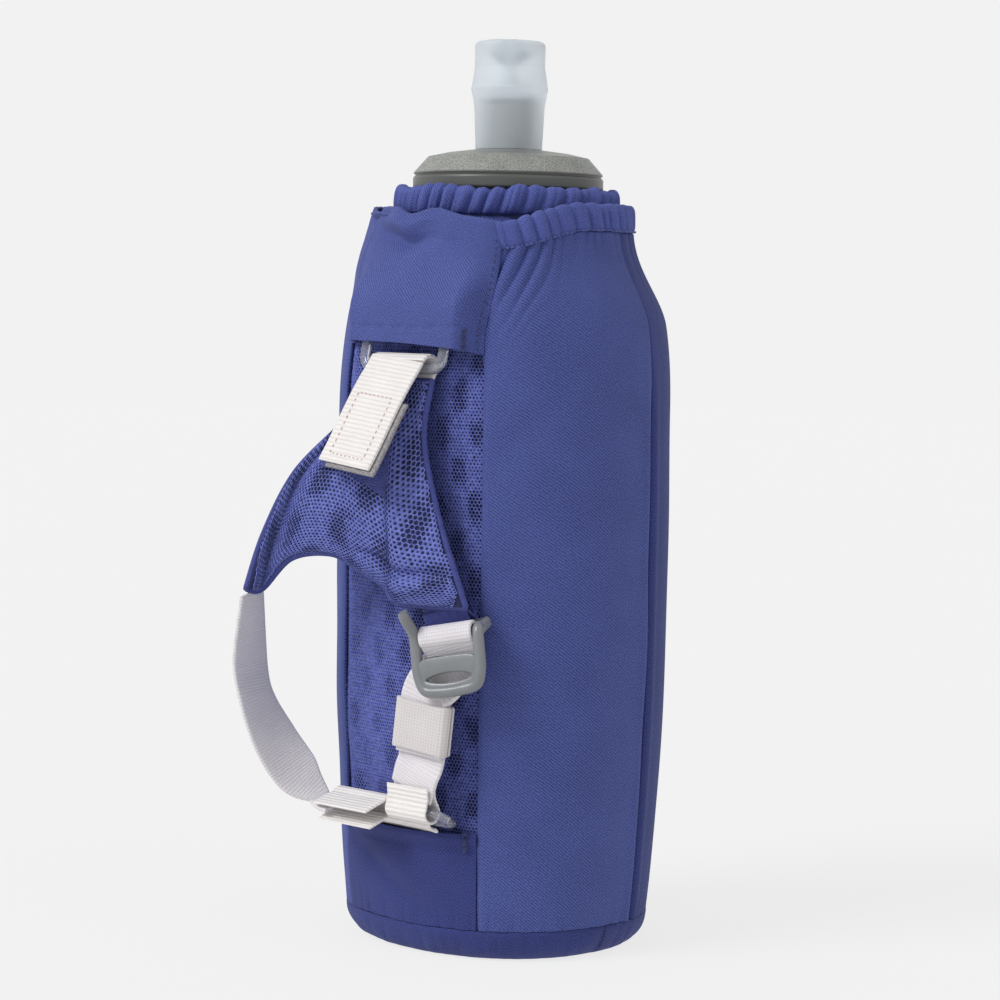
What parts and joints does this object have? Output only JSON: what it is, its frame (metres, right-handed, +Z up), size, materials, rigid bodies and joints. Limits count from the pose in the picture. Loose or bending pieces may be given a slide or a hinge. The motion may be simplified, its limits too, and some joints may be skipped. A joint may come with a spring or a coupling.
{
  "type": "handheld soft flask",
  "caption": "Soft flask with a screw cap and bite valve, in an oval stretch-cloth sleeve with a mesh front and a padded, adjustable hand strap.",
  "frame": {"origin": "middle of the sleeve's flat underside", "axes": "+Z up along the flask, -Y towards the hand strap, +X to the right of the strap as it faces the viewer"},
  "size_m": [0.089, 0.1085, 0.2375],
  "materials": {
    "film": "clear flexible film",
    "grey_plastic": "fine-textured moulded plastic",
    "silicone": "frosted silicone",
    "seal": "soft silicone",
    "woven": "fine stretch twill",
    "knit": "open spotted mesh",
    "lining": "smooth knit",
    "foam": "soft foam",
    "elastic": "knitted elastic",
    "grosgrain": "ribbed ribbon",
    "hook": "touch fastener",
    "loop": "touch fastener loops",
    "clear": "clear moulded plastic",
    "buckle_plastic": "smooth moulded plastic"
  },
  "bodies": {
    "sleeve": {"liner": "woven", "neck_hem": "woven", "neck_elastic": "elastic", "front_yoke": "woven", "mesh_window": "knit", "lower_panel": "woven", "side_panel_right": "woven", "side_panel_left": "woven", "back_panel": "woven", "pocket_hem": "woven", "pocket_elastic": "elastic", "base_panel": "woven", "ring_anchor": "grosgrain", "lower_anchor": "grosgrain"},
    "flask": {"flask_film": "film", "neck_collar": "grey_plastic"},
    "seal": {"cap_seal": "seal"},
    "cap": {"screw_cap": "grey_plastic"},
    "valve": {"bite_valve": "silicone"},
    "ring": {"upper_ring": "clear"},
    "pad": {"tab_loop": "grosgrain", "loop_patch": "loop", "pad_mesh": "knit", "pad_foam": "foam", "pad_lining": "lining", "left_strap": "elastic", "right_strap": "elastic", "pad_tongue": "lining"},
    "flap": {"tab_flap": "grosgrain", "hook_patch": "hook"},
    "buckle": {"buckle": "buckle_plastic"},
    "keeper": {"strap_keeper": "elastic"},
    "lower_ring": {"lower_ring": "clear", "left_end_loop": "grosgrain", "right_end_loop": "elastic"}
  },
  "joints": [
    {"name": "flask_lift", "type": "slide", "parent": "sleeve", "child": "flask", "axis": [0, 0, 1], "range_m": [0, 0.2], "deforming": ["flask_film"]},
    {"name": "cap_lift", "type": "slide", "parent": "flask", "child": "seal", "axis": [0, 0, 1], "range_m": [0, 0.0118]},
    {"name": "cap_turn", "type": "hinge", "parent": "seal", "child": "cap", "pos_m": [0, 0, 0.198], "axis": [0, 0, 1], "range_deg": [0, 1350]},
    {"name": "valve_pull", "type": "slide", "parent": "cap", "child": "valve", "axis": [0, 0, 1], "range_m": [0, 0.02]},
    {"name": "ring_swing", "type": "hinge", "parent": "sleeve", "child": "ring", "pos_m": [0.003, -0.03801, 0.163], "axis": [-1, 0, 0], "range_deg": [-1.5, 4]},
    {"name": "pad_swing", "type": "hinge", "parent": "sleeve", "child": "pad", "pos_m": [0.003, -0.04032, 0.15163], "axis": [-1, 0, 0], "range_deg": [0, 8], "stiffness_Nm_per_rad": 0.25, "deforming": ["left_strap", "right_strap"]},
    {"name": "tab_peel", "type": "hinge", "parent": "pad", "child": "flap", "pos_m": [0.004, -0.04314, 0.15326], "axis": [-1, 0, 0], "range_deg": [0, 95]},
    {"name": "buckle_tilt", "type": "hinge", "parent": "pad", "child": "buckle", "pos_m": [0.0242, -0.04251, 0.0849], "axis": [0.9224, 0.3357, 0.1908], "range_deg": [-5, 8], "deforming": ["pad_tongue"]},
    {"name": "keeper_slide", "type": "slide", "parent": "pad", "child": "keeper", "axis": [0.0995, 0.0284, 0.9946], "range_m": [-0.008, 0]},
    {"name": "lower_ring_swing", "type": "hinge", "parent": "sleeve", "child": "lower_ring", "pos_m": [0.00275, -0.03802, 0.036], "axis": [-1, 0, 0], "range_deg": [-1.5, 5]}
  ],
  "couplings": [
    {"joint": "cap_turn", "follows": "cap_lift", "rad_per_m": 1963.5},
    {"joint": "ring_swing", "follows": "pad_swing", "ratio": 0.35},
    {"joint": "lower_ring_swing", "follows": "pad_swing", "ratio": 0.5}
  ]
}
